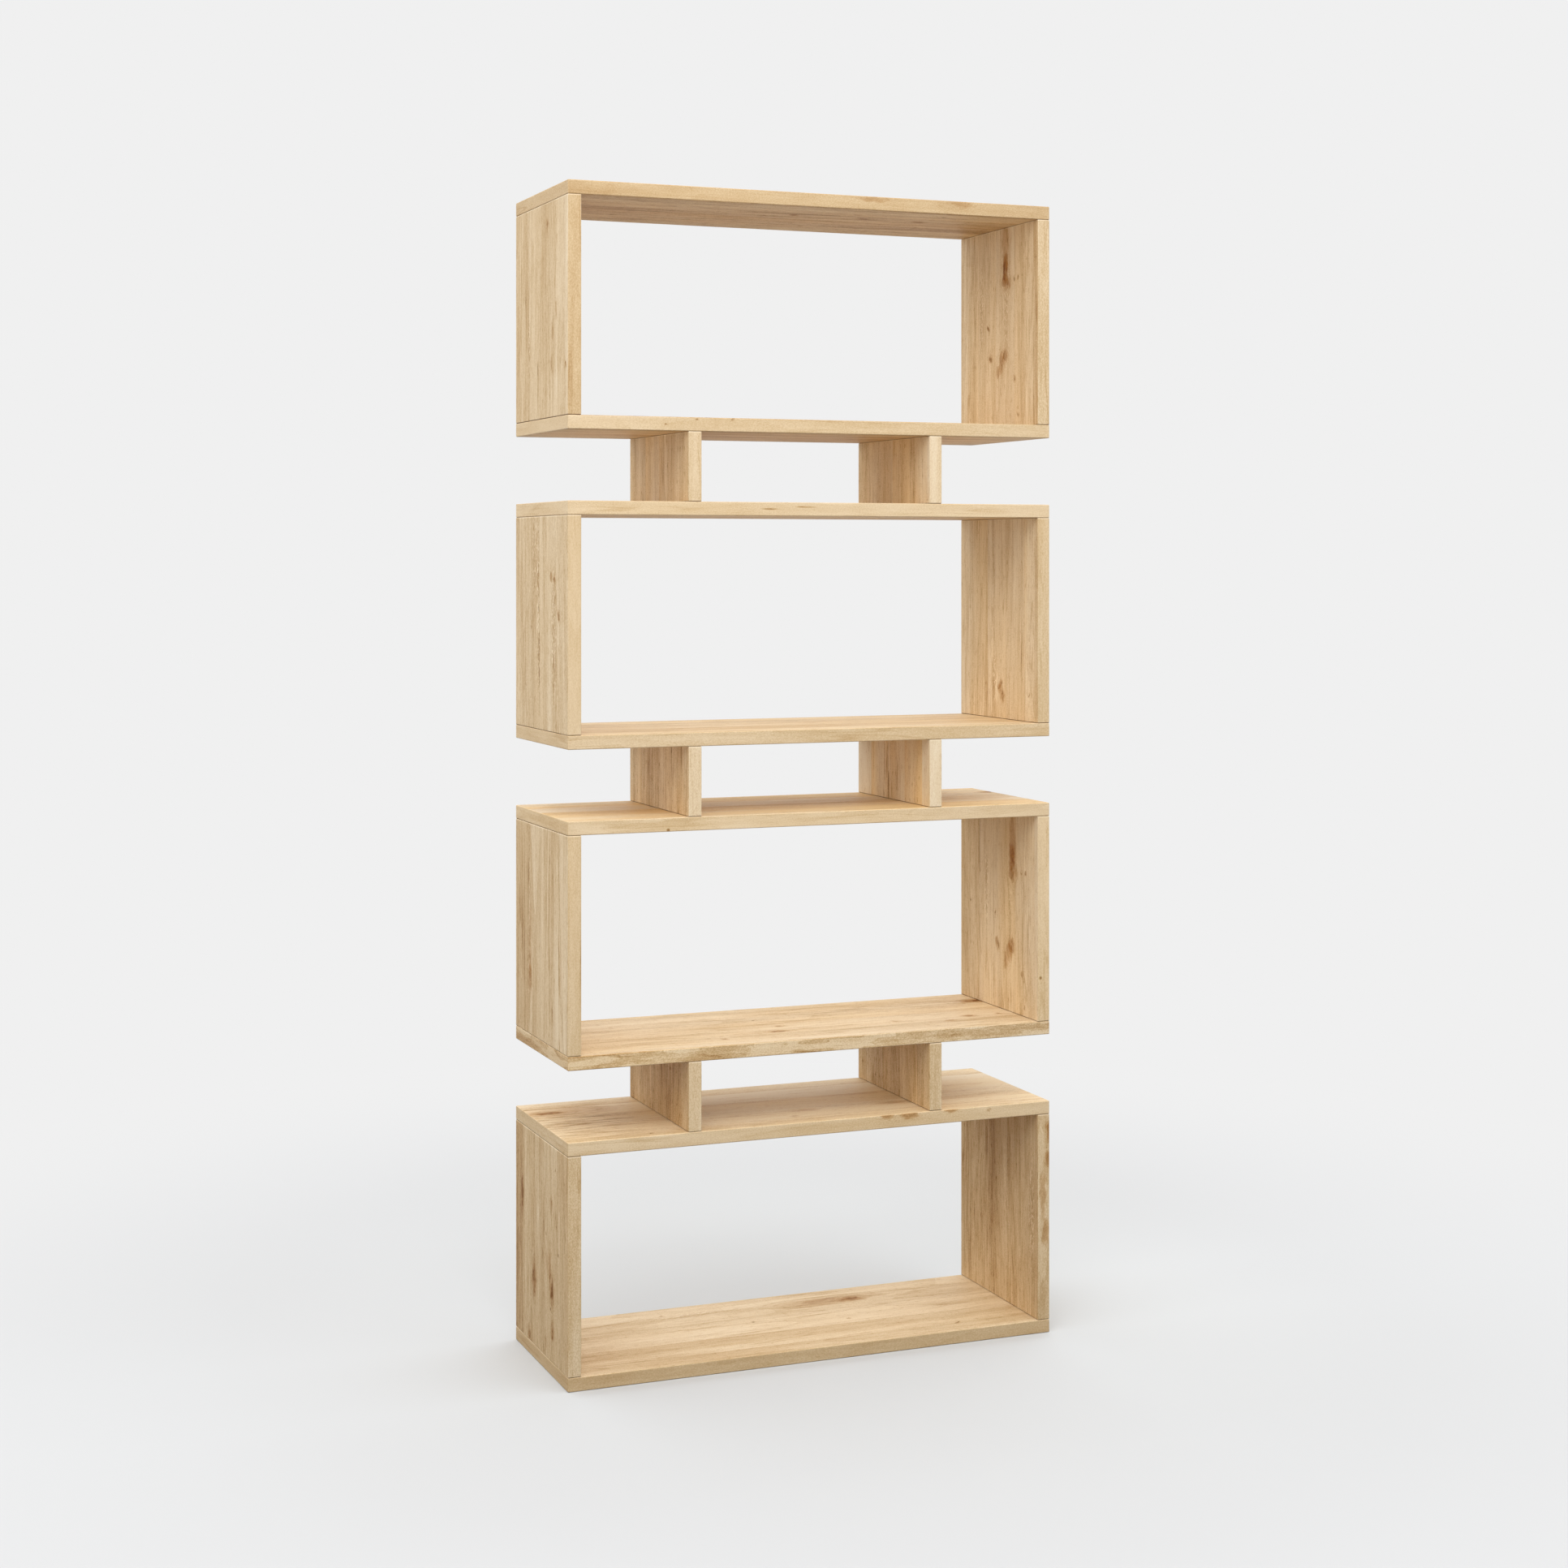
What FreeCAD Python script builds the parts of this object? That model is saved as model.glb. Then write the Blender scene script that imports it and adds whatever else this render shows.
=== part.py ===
# Open bookshelf of solid beech: four rectangular boxes stacked one above the other,
# each held clear of the next by a pair of upright spacer boards.
# Frame: millimetres, +X to the right, +Y to the back, +Z up, origin on the floor under the middle.
import FreeCAD, Part
import os

# Driving dimensions of the boards
shelf_width = 800.0
shelf_depth = 280.0
board_thickness = 21.0
bay_height = 327.0          # clear height inside a box
spacer_height = 106.0       # clear height between two boxes
spacer_spacing = 400.0      # between the middles of the two spacers of a pair
edge_radius = 1.5           # sanded round on every board edge
edge_round_limit = 0.45     # most of a board's thinnest side that the round may take
box_count = 4

# Fluted beech dowels, glued into blind bores
dowel_diameter = 8.0
dowel_length = 35.0
dowel_chamfer = 1.0
dowel_flute_count = 8
dowel_flute_depth = 0.35
dowel_flute_diameter = 1.6
dowel_clearance = 0.1       # glue film round a dowel, on the radius
dowel_end_space = 1.0       # glue space past each end of a dowel
blind_wall = 7.0            # wood left behind a bore in a board's face
dowel_row_count = 4
dowel_row_margin = 44.0     # first and last dowel of a row, from the front and back edges
locating_dowel_spacing = 64.0

# Bolts that hold a spacer down on the box below, and the threaded inserts that they turn into
bolt_diameter = 6.0
bolt_engagement = 14.0      # thread inside the insert
bolt_tip_chamfer = 0.8
bolt_tip_space = 9.0        # empty bore past the bolt's tip
bolt_head_diameter = 15.0
bolt_head_height = 2.5
bolt_head_round = 0.6
bolt_socket_width = 4.0     # across the flats of the hexagon
bolt_socket_depth = 2.0
bolt_margin = 44.0          # bolt axis, from the front and back edges
bolt_clearance = 0.3        # round the bolt in its hole, on the radius
head_clearance = 0.5        # round the head in its counterbore, on the radius
head_recess = 0.5           # from the head's top up to the board's face
insert_wall = 2.0
insert_length = 18.0
insert_clearance = 0.05     # round the insert, on the radius
insert_groove_count = 5
insert_groove_depth = 0.6
insert_groove_width = 1.6
thread_clearance = 0.05     # between bolt and insert, on the radius

# Derived places
UP = FreeCAD.Vector(0, 0, 1)
DOWN = FreeCAD.Vector(0, 0, -1)
SIDES = {"left": -1, "right": 1}
box_height = bay_height + 2 * board_thickness
box_pitch = box_height + spacer_height
side_middle = shelf_width / 2 - board_thickness / 2
spacer_middle = spacer_spacing / 2
bolt_hole_diameter = bolt_diameter + 2 * bolt_clearance
counterbore_diameter = bolt_head_diameter + 2 * head_clearance
counterbore_depth = bolt_head_height + head_recess
insert_bore_diameter = bolt_diameter + 2 * thread_clearance
insert_diameter = insert_bore_diameter + 2 * insert_wall
face_bore_depth = board_thickness - blind_wall
end_bore_depth = dowel_length + 2 * dowel_end_space - face_bore_depth
dowel_rows = [
    -shelf_depth / 2 + dowel_row_margin
    + row * (shelf_depth - 2 * dowel_row_margin) / (dowel_row_count - 1)
    for row in range(dowel_row_count)
]
locating_rows = [-locating_dowel_spacing / 2, locating_dowel_spacing / 2]
bolt_rows = [-shelf_depth / 2 + bolt_margin, shelf_depth / 2 - bolt_margin]


def box_floor(box):
    """Height of the underside of a box; box 1 stands on the floor."""
    return (box - 1) * box_pitch


def seam_heights(box):
    """Heights of the two seams of a box, where its sides meet the bottom and the top board."""
    lower = box_floor(box) + board_thickness
    return lower, lower + bay_height


def gap_heights(gap):
    """Heights of the lower and upper end of the spacers in a gap; gap 1 is above box 1."""
    lower = box_floor(gap) + box_height
    return lower, lower + spacer_height


def points(middle_x, rows, height):
    """One point for each row, on the line at middle_x."""
    return [FreeCAD.Vector(middle_x, row, height) for row in rows]


def bore(mouth, direction, diameter, depth):
    """Round hole to cut, from its mouth along a direction."""
    return Part.makeCylinder(diameter / 2, depth, mouth, direction)


def dowel_bores(mouths, direction, depth):
    """Blind holes for dowels."""
    diameter = dowel_diameter + 2 * dowel_clearance
    return [bore(mouth, direction, diameter, depth) for mouth in mouths]


def board(size, middle_x, floor, bores):
    """Board with rounded edges, centred on middle_x and on the depth, with its bores cut."""
    corner = FreeCAD.Vector(middle_x - size.x / 2, -size.y / 2, floor)
    blank = Part.makeBox(size.x, size.y, size.z, corner)
    radius = min(edge_radius, edge_round_limit * min(size))
    return blank.makeFillet(radius, blank.Edges).cut(bores)


def side_seam_bores(height, direction, depth):
    """Dowel holes of the left and right seam of a box, at one height."""
    mouths = [p for sign in SIDES.values() for p in points(sign * side_middle, dowel_rows, height)]
    return dowel_bores(mouths, direction, depth)


def flat_board_size():
    """Size of a top or bottom board."""
    return FreeCAD.Vector(shelf_width, shelf_depth, board_thickness)


def bottom_board(box):
    """Bottom of a box: dowel holes for its sides above, and for the spacers below it."""
    floor = box_floor(box)
    bores = side_seam_bores(seam_heights(box)[0], DOWN, face_bore_depth)
    if box > 1:
        for sign in SIDES.values():
            bores += dowel_bores(points(sign * spacer_middle, dowel_rows, floor), UP, face_bore_depth)
    return board(flat_board_size(), 0, floor, bores)


def top_board(box):
    """Top of a box: dowel holes for its sides below, and holes for the spacers above it."""
    floor = seam_heights(box)[1]
    upper_face = floor + board_thickness
    bores = side_seam_bores(floor, UP, face_bore_depth)
    if box < box_count:
        for sign in SIDES.values():
            middle = sign * spacer_middle
            bores += dowel_bores(points(middle, locating_rows, upper_face), DOWN, face_bore_depth)
            for mouth in points(middle, bolt_rows, floor):
                bores.append(bore(mouth, UP, bolt_hole_diameter, board_thickness))
                bores.append(bore(mouth, UP, counterbore_diameter, counterbore_depth))
    return board(flat_board_size(), 0, floor, bores)


def side_board(box, sign):
    """Side of a box, standing between its bottom and top boards."""
    lower, upper = seam_heights(box)
    middle = sign * side_middle
    bores = dowel_bores(points(middle, dowel_rows, lower), UP, end_bore_depth)
    bores += dowel_bores(points(middle, dowel_rows, upper), DOWN, end_bore_depth)
    size = FreeCAD.Vector(board_thickness, shelf_depth, bay_height)
    return board(size, middle, lower, bores)


def spacer(gap, sign):
    """Upright board between two boxes: dowelled at the top, bolted and dowelled at the bottom."""
    lower, upper = gap_heights(gap)
    middle = sign * spacer_middle
    bores = dowel_bores(points(middle, dowel_rows, upper), DOWN, end_bore_depth)
    bores += dowel_bores(points(middle, locating_rows, lower), UP, end_bore_depth)
    for mouth in points(middle, bolt_rows, lower):
        bores.append(bore(mouth, UP, insert_diameter + 2 * insert_clearance, insert_length))
        bores.append(bore(mouth, UP, bolt_hole_diameter, bolt_engagement + bolt_tip_space))
    size = FreeCAD.Vector(board_thickness, shelf_depth, spacer_height)
    return board(size, middle, lower, bores)


def dowel():
    """Dowel on the Z axis from height 0, with chamfered ends and straight flutes."""
    blank = Part.makeCylinder(dowel_diameter / 2, dowel_length)
    rims = [edge for edge in blank.Edges if edge.Closed]
    blank = blank.makeChamfer(dowel_chamfer, rims)
    flute_radius = dowel_flute_diameter / 2
    reach = dowel_diameter / 2 - dowel_flute_depth + flute_radius
    flutes = []
    for turn in range(dowel_flute_count):
        flute = Part.makeCylinder(flute_radius, dowel_length, FreeCAD.Vector(reach, 0, 0))
        flute.rotate(FreeCAD.Vector(), UP, 360 * turn / dowel_flute_count)
        flutes.append(flute)
    return blank.cut(flutes)


def bolt():
    """Flat-headed bolt on the Z axis: head below height 0, thread above, hexagon socket in the head."""
    length = board_thickness - counterbore_depth + bolt_engagement
    shank = Part.makeCylinder(bolt_diameter / 2, length)
    tip = [edge for edge in shank.Edges if edge.Closed and edge.CenterOfMass.z > length / 2]
    shank = shank.makeChamfer(bolt_tip_chamfer, tip)
    head_top = DOWN * bolt_head_height
    head = Part.makeCylinder(bolt_head_diameter / 2, bolt_head_height, head_top)
    rim = [edge for edge in head.Edges if edge.Closed and edge.CenterOfMass.z < -bolt_head_height / 2]
    head = head.makeFillet(bolt_head_round, rim)
    corner = head_top + FreeCAD.Vector(bolt_socket_width / 3 ** 0.5, 0, 0)
    corners = [FreeCAD.Rotation(UP, angle).multVec(corner) for angle in range(0, 361, 60)]
    socket = Part.Face(Part.makePolygon(corners)).extrude(UP * bolt_socket_depth)
    return head.fuse(shank).removeSplitter().cut(socket)


def insert():
    """Threaded insert on the Z axis from height 0: a sleeve with ring grooves that bite the wood."""
    outer_radius = insert_diameter / 2
    root_radius = outer_radius - insert_groove_depth
    sleeve = Part.makeCylinder(outer_radius, insert_length)
    cuts = [Part.makeCylinder(insert_bore_diameter / 2, insert_length)]
    groove_pitch = insert_length / insert_groove_count
    for groove in range(insert_groove_count):
        start = UP * ((groove + 0.5) * groove_pitch - insert_groove_width / 2)
        disc = Part.makeCylinder(outer_radius, insert_groove_width, start)
        cuts.append(disc.cut(Part.makeCylinder(root_radius, insert_groove_width, start)))
    return sleeve.cut(cuts)


def copies(piece, places):
    """Group of separate copies of one piece, one at each place."""
    return Part.makeCompound([piece.translated(place) for place in places])


def dowel_start_under(seam):
    """Lower end of a dowel whose flat board lies under the seam."""
    return seam - face_bore_depth + dowel_end_space


def dowel_start_over(seam):
    """Lower end of a dowel whose flat board lies over the seam."""
    return seam + face_bore_depth - dowel_end_space - dowel_length


def corner_dowel_places(box):
    """Lower ends of the dowels in the four seams of a box."""
    lower, upper = seam_heights(box)
    starts = (dowel_start_under(lower), dowel_start_over(upper))
    return [p for sign in SIDES.values() for start in starts
            for p in points(sign * side_middle, dowel_rows, start)]


def gap_places(rows, height):
    """Points under or over both spacers of a gap, at one height."""
    return [p for sign in SIDES.values() for p in points(sign * spacer_middle, rows, height)]


def shelf_pieces():
    """Every piece of the shelf, by name."""
    pieces = {}
    one_dowel, one_bolt, one_insert = dowel(), bolt(), insert()
    for box in range(1, box_count + 1):
        pieces[f"box{box}_bottom_board"] = bottom_board(box)
        pieces[f"box{box}_top_board"] = top_board(box)
        for side, sign in SIDES.items():
            pieces[f"box{box}_{side}_side"] = side_board(box, sign)
        pieces[f"box{box}_corner_dowels"] = copies(one_dowel, corner_dowel_places(box))
    for gap in range(1, box_count):
        lower, upper = gap_heights(gap)
        for side, sign in SIDES.items():
            pieces[f"spacer{gap}_{side}"] = spacer(gap, sign)
        upper_start = dowel_start_over(upper)
        lower_start = dowel_start_under(lower)
        head_seat = lower - board_thickness + counterbore_depth
        pieces[f"spacer{gap}_upper_dowels"] = copies(one_dowel, gap_places(dowel_rows, upper_start))
        pieces[f"spacer{gap}_locating_dowels"] = copies(one_dowel, gap_places(locating_rows, lower_start))
        pieces[f"spacer{gap}_bolts"] = copies(one_bolt, gap_places(bolt_rows, head_seat))
        pieces[f"spacer{gap}_threaded_inserts"] = copies(one_insert, gap_places(bolt_rows, lower))
    return pieces


os.makedirs("parts", exist_ok=True)
for name, shape in shelf_pieces().items():
    shape.exportStep(f"parts/{name}.step")
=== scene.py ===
"""Dresses a shelf of four stacked boxes: oiled beech boards, raw dowels, zinc bolts, brass inserts."""
import logging
import math
from dataclasses import dataclass, replace
from enum import Enum
from typing import ClassVar, TypeVar, Union

import bpy
import numpy as np
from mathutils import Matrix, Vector


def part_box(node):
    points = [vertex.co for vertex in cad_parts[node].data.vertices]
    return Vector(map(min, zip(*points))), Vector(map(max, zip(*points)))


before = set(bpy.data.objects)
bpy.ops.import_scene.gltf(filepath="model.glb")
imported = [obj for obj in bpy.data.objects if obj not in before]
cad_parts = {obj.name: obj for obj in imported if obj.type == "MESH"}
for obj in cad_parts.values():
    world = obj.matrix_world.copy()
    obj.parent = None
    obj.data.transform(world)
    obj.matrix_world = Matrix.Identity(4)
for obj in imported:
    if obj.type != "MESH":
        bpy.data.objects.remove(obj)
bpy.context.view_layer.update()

LOG = logging.getLogger("bookshelf")
IMAGE_SIDE = 1932
BOX_COUNT = 4
MM = 0.001

Colour = tuple[float, float, float, float]
Point = tuple[float, float, float]
Pair = tuple[float, float]
Value = Union["Field", float]
Setting = Union[str, bool, float, list[tuple[float, Colour]]]
SocketKey = Union[str, int]
SocketValue = Union["Field", float, Colour, Point]


def paint(red: float, green: float, blue: float) -> Colour:
    """Turns a colour as it is seen on a screen into the linear colour that a shader takes.

    Args:
        red: Red, 0 to 255.
        green: Green, 0 to 255.
        blue: Blue, 0 to 255.

    Returns:
        The linear colour, opaque.
    """
    # The standard curve of screens: straight near black, and a power above
    seen = np.array([red, green, blue]) / 255.0
    linear = np.where(seen <= 0.04045, seen / 12.92, ((seen + 0.055) / 1.055) ** 2.4)
    return (*(float(x) for x in linear), 1.0)


class Field:
    """A value that changes over a surface: one socket, whose operators add Math nodes."""

    def __init__(self, sheet: "NodeSheet", socket: bpy.types.NodeSocket) -> None:
        """Keeps the socket and the sheet that it is on."""
        self.sheet = sheet
        self.socket = socket

    def __add__(self, other: Value) -> "Field":
        """This plus the other."""
        return self.sheet.math("ADD", self, other)

    def __radd__(self, other: Value) -> "Field":
        """The other plus this."""
        return self.sheet.math("ADD", other, self)

    def __sub__(self, other: Value) -> "Field":
        """This less the other."""
        return self.sheet.math("SUBTRACT", self, other)

    def __rsub__(self, other: Value) -> "Field":
        """The other less this."""
        return self.sheet.math("SUBTRACT", other, self)

    def __mul__(self, other: Value) -> "Field":
        """This times the other."""
        return self.sheet.math("MULTIPLY", self, other)

    def __rmul__(self, other: Value) -> "Field":
        """The other times this."""
        return self.sheet.math("MULTIPLY", other, self)

    def __pow__(self, other: Value) -> "Field":
        """This to the power of the other."""
        return self.sheet.math("POWER", self, other)

    def __gt__(self, other: Value) -> "Field":
        """1 where this is greater than the other, and 0 elsewhere."""
        return self.sheet.math("GREATER_THAN", self, other)

    def __abs__(self) -> "Field":
        """This without its sign."""
        return self.sheet.math("ABSOLUTE", self)

    def part(self) -> "Field":
        """What this has after its decimal point."""
        return self.sheet.math("FRACT", self)

    def larger(self, other: Value) -> "Field":
        """The larger of this and the other."""
        return self.sheet.math("MAXIMUM", self, other)

    def ease(self, start: float, end: float, low: float = 0.0, high: float = 1.0) -> "Field":
        """Carries this through a smooth step.

        Args:
            start: Where the step begins.
            end: Where the step ends, which may be below the start.
            low: The value at the start.
            high: The value at the end.

        Returns:
            The stepped value.
        """
        node = self.sheet.node(
            "ShaderNodeMapRange",
            {"interpolation_type": "SMOOTHSTEP"},
            {"Value": self, "From Min": start, "From Max": end, "To Min": low, "To Max": high},
        )
        return self.sheet.read(node, "Result")


class NodeSheet:
    """The nodes of one material or world."""

    MIX_FACTOR, MIX_A, MIX_B, MIX_RESULT = 0, 6, 7, 2

    def __init__(self, owner: Union[bpy.types.Material, bpy.types.World]) -> None:
        """Clears the owner's nodes.

        Args:
            owner: The material or world.
        """
        owner.use_nodes = True
        self.tree = owner.node_tree
        self.tree.nodes.clear()

    def node(
        self,
        kind: str,
        settings: Union[dict[str, Setting], None] = None,
        sockets: Union[dict[SocketKey, SocketValue], None] = None,
    ) -> bpy.types.Node:
        """Adds a node, sets it, then fills or links its sockets.

        Args:
            kind: The node's type.
            settings: The node's own settings; "stops" gives a colour ramp's places and colours.
            sockets: A number, colour or field for each input socket that is used.

        Returns:
            The new node.
        """
        node = self.tree.nodes.new(kind)
        for name, setting in (settings or {}).items():
            if name == "stops":
                self.set_stops(node.color_ramp, setting)
            else:
                setattr(node, name, setting)
        for key, value in (sockets or {}).items():
            if isinstance(value, Field):
                self.tree.links.new(value.socket, node.inputs[key])
            else:
                node.inputs[key].default_value = value
        return node

    @staticmethod
    def set_stops(ramp: bpy.types.ColorRamp, stops: list[tuple[float, Colour]]) -> None:
        """Gives a colour ramp its stops.

        Args:
            ramp: The ramp, which starts with two stops.
            stops: Place and colour of each stop, from low to high.
        """
        while len(ramp.elements) < len(stops):
            ramp.elements.new(1.0)
        for element, (place, colour) in zip(ramp.elements, stops):
            element.position = place
            element.color = colour

    def read(self, node: bpy.types.Node, output: SocketKey) -> Field:
        """A node's output as a field."""
        return Field(self, node.outputs[output])

    def math(self, operation: str, *values: Value) -> Field:
        """One Math node.

        Args:
            operation: The node's operation.
            values: Its one or two inputs.

        Returns:
            The result.
        """
        node = self.node("ShaderNodeMath", {"operation": operation}, dict(enumerate(values)))
        return self.read(node, "Value")

    def split(self, vector: Field) -> tuple[Field, Field, Field]:
        """The three parts of a vector."""
        node = self.node("ShaderNodeSeparateXYZ", sockets={"Vector": vector})
        return self.read(node, "X"), self.read(node, "Y"), self.read(node, "Z")

    def join(self, first: Value, second: Value, third: Value = 0.0) -> Field:
        """A vector of three values."""
        node = self.node("ShaderNodeCombineXYZ", sockets={"X": first, "Y": second, "Z": third})
        return self.read(node, "Vector")

    def object_place(self) -> tuple[Field, Field]:
        """Where a point is, and which way its surface faces, in the object's own frame."""
        node = self.node("ShaderNodeTexCoord")
        return self.read(node, "Object"), self.read(node, "Normal")

    def noise(self, place: Field, detail: float = 0.0, roughness: float = 0.5) -> Field:
        """Smooth noise about 0, mostly within a quarter either way.

        Args:
            place: The vector at which it is read, one unit to a wave.
            detail: How many finer layers it has.
            roughness: How strong the finer layers are.

        Returns:
            The noise.
        """
        sockets = {"Vector": place, "Scale": 1.0, "Detail": detail, "Roughness": roughness}
        return self.read(self.node("ShaderNodeTexNoise", sockets=sockets), "Fac") - 0.5

    def ellipse(self, place: Field, along: float, across: float, length: float, width: float) -> Field:
        """Where each point is against an ellipse: a vector whose length is 1 on its outline.

        Args:
            place: A point's distances along and across the grain, in metres.
            along: Where the middle is along the grain, in mm.
            across: Where the middle is across the grain, in mm.
            length: The whole length along the grain, in mm.
            width: The whole width across the grain, in mm.

        Returns:
            The vector.
        """
        scale = (2.0 / (length * MM), 2.0 / (width * MM), 0.0)
        shift = (-2.0 * along / length, -2.0 * across / width, 0.0)
        sockets = {0: place, 1: scale, 2: shift}
        node = self.node("ShaderNodeVectorMath", {"operation": "MULTIPLY_ADD"}, sockets)
        return self.read(node, "Vector")

    def length(self, vector: Field) -> Field:
        """A vector's length."""
        node = self.node("ShaderNodeVectorMath", {"operation": "LENGTH"}, {0: vector})
        return self.read(node, "Value")

    def blend(
        self, share: Value, first: Union[Field, Colour], second: Union[Field, Colour], way: str = "MIX"
    ) -> Field:
        """Mixes two colours.

        Args:
            share: How much of the second there is.
            first: The first colour.
            second: The second colour.
            way: How the second goes over the first.

        Returns:
            The mixed colour.
        """
        node = self.node(
            "ShaderNodeMix",
            {"data_type": "RGBA", "blend_type": way},
            {self.MIX_FACTOR: share, self.MIX_A: first, self.MIX_B: second},
        )
        return self.read(node, self.MIX_RESULT)

    def ramp(self, value: Field, stops: list[tuple[float, Colour]]) -> Field:
        """The colour that a ramp of stops gives a value."""
        node = self.node("ShaderNodeValToRGB", {"stops": stops}, {"Fac": value})
        return self.read(node, "Color")

    def surface(self, sockets: dict[SocketKey, SocketValue]) -> None:
        """Ends a material in a Principled shader with these sockets."""
        node = self.node("ShaderNodeBsdfPrincipled", sockets=sockets)
        self.finish(self.read(node, "BSDF"))

    def finish(self, shader: Field, kind: str = "ShaderNodeOutputMaterial") -> None:
        """Links a shader to the sheet's output."""
        self.node(kind, sockets={"Surface": shader})

    def bump(self, height: Field, distance: float, strength: float) -> Field:
        """A normal that follows small heights.

        Args:
            height: The height, 1 for the whole distance.
            distance: The distance, in metres.
            strength: How much of it shows.

        Returns:
            The normal.
        """
        sockets = {"Height": height, "Distance": distance, "Strength": strength}
        return self.read(self.node("ShaderNodeBump", sockets=sockets), "Normal")


class Grain(Enum):
    """Which way a board's fibres run."""

    LEVEL = "flat boards, along the shelf"
    UPRIGHT = "sides and spacers, up and down"


class Side(Enum):
    """The surface of a board that a mark is on."""

    FACE = "broad faces"
    EDGE = "front and back edges"


@dataclass(frozen=True)
class Knot:
    """A knot: its middle, length and width in mm, and how strong its core and its amber surround are.

    Along runs with the grain from the board's low end. Across runs from the front, or on an edge through
    the board's thickness.
    """

    along: float
    across: float
    length: float
    width: float
    core: float = 0.8
    halo: float = 0.5
    side: Side = Side.FACE


@dataclass(frozen=True)
class Streak:
    """A long mark that follows the grain, placed as a knot is.

    Shade is darker above 0 and lighter below. Curl is how strongly light curly lines show in it.
    """

    along: float
    across: float
    length: float
    width: float
    shade: float = 0.2
    curl: float = 0.0
    side: Side = Side.FACE


@dataclass(frozen=True)
class Figure:
    """What sets one board's wood apart from the next.

    Tone is how much darker it is, contrast how strong its figure is, its warmth how warm it is, which on
    the boards inside the boxes is partly painted warm bounce light, and flame how strong its rings are.
    The edge values are for its edges and ends, and end_tone is for its ends alone.
    """

    tone: float = 0.0
    contrast: float = 1.0
    warmth_and_bounce: float = 0.15
    flame: float = 0.0
    edge_warmth_and_bounce: float = 0.0
    edge_tone: float = 0.0
    edge_flame: float = 0.06
    edge_contrast: float = 0.65
    end_tone: float = 0.0
    knots: tuple[Knot, ...] = ()
    streaks: tuple[Streak, ...] = ()


@dataclass(frozen=True)
class Layer:
    """One layer of noise in the wood.

    Along and across are its waves to a metre, shift sets it apart from the others, and detail is how many
    finer layers it holds. Weight is how much it counts, and on_strips its share on edges and ends.
    """

    along: float
    across: float
    shift: float
    detail: float = 0.0
    weight: float = 1.0
    on_strips: float = 1.0


@dataclass(frozen=True)
class Ground:
    """One board's surfaces laid out flat.

    Along and across are metres with the grain and over it. Edge is 1 on the front and back edges, and
    strip on the ends as well. Layer sets the board's noise apart. Seam is painted shade in the groove at
    each end of an upright, and the light line on the rounded edge beside the upper one is a painted
    highlight.
    """

    sheet: NodeSheet
    along: Field
    across: Field
    edge: Field
    strip: Field
    layer: Field
    seam: Value
    painted_arris_highlight: Value

    # A surface is an edge or an end where it faces that way within 45 degrees
    FACING: ClassVar[float] = math.sqrt(0.5)

    # Distances from an upright's foot and head at which its painted seam shade and its painted highlight
    # fade
    FOOT_SEAM_SHADE: ClassVar[Pair] = (1.5 * MM, 0.5 * MM)
    HEAD_SEAM_SHADE: ClassVar[Pair] = (0.7 * MM, 0.2 * MM)
    HEAD_ARRIS_HIGHLIGHT: ClassVar[Pair] = (2.4 * MM, 1.4 * MM)

    # How edges and ends are set apart in the noise, and how strong its finer layers are
    EDGE_SHIFT: ClassVar[float] = 7.7
    END_SHIFT: ClassVar[float] = 15.1
    ROUGHNESS: ClassVar[float] = 0.6

    @classmethod
    def of_board(cls, sheet: NodeSheet, node: str, grain: Grain, seed: float) -> "Ground":
        """Lays a board's surfaces out from its low corner.

        On a broad face the two distances are the board's length and width. On a long edge the second is
        its thickness, and on an end the first is its width and the second its thickness.

        Args:
            sheet: The board's nodes.
            node: The board's CAD node.
            grain: Which way its fibres run.
            seed: Where its pattern is read.

        Returns:
            The laid out surfaces.
        """
        low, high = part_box(node)
        place, facing = sheet.object_place()
        x, y, z = sheet.split(place)
        face_x, face_y, face_z = sheet.split(facing)
        across = y - low.y
        edge = abs(face_y) > cls.FACING
        seam: Value = 0.0
        painted_arris_highlight: Value = 0.0
        if grain is Grain.LEVEL:
            along, through = x - low.x, z - low.z
            end = abs(face_x) > cls.FACING
        else:
            along, through = z - low.z, x - low.x
            end = abs(face_z) > cls.FACING
            # Painted shade in the grooves at the foot and head, and a painted highlight on the rounded
            # edge below the head
            below_top = (high.z - low.z) - along
            head_seam_shade = below_top.ease(*cls.HEAD_SEAM_SHADE)
            seam = along.ease(*cls.FOOT_SEAM_SHADE) + head_seam_shade
            painted_arris_highlight = below_top.ease(*cls.HEAD_ARRIS_HIGHLIGHT) - head_seam_shade
        first = along + (across - along) * end
        second = across + (through - across) * (edge + end)
        layer = seed + cls.EDGE_SHIFT * edge + cls.END_SHIFT * end
        return cls(sheet, first, second, edge, edge + end, layer, seam, painted_arris_highlight)

    def on(self, side: Side) -> Field:
        """1 on that side of the board."""
        return self.edge if side is Side.EDGE else 1.0 - self.strip

    def either(self, face: float, strip: float) -> Value:
        """One value on the broad faces and another on edges and ends."""
        return face if face == strip else face + (strip - face) * self.strip

    def noise(self, layer: Layer, bent: Union[Field, None] = None) -> Field:
        """Noise laid along the grain.

        Args:
            layer: The layer of noise.
            bent: The distance across the grain, where it bends.

        Returns:
            The noise, about 0.
        """
        wide = self.across if bent is None else bent
        place = self.sheet.join(layer.along * self.along, layer.across * wide, self.layer + layer.shift)
        return self.sheet.noise(place, layer.detail, self.ROUGHNESS)

    def weigh(self, layer: Layer, marks: Field) -> Field:
        """A layer's marks times its weight there."""
        return self.either(layer.weight, layer.weight * layer.on_strips) * marks


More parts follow.
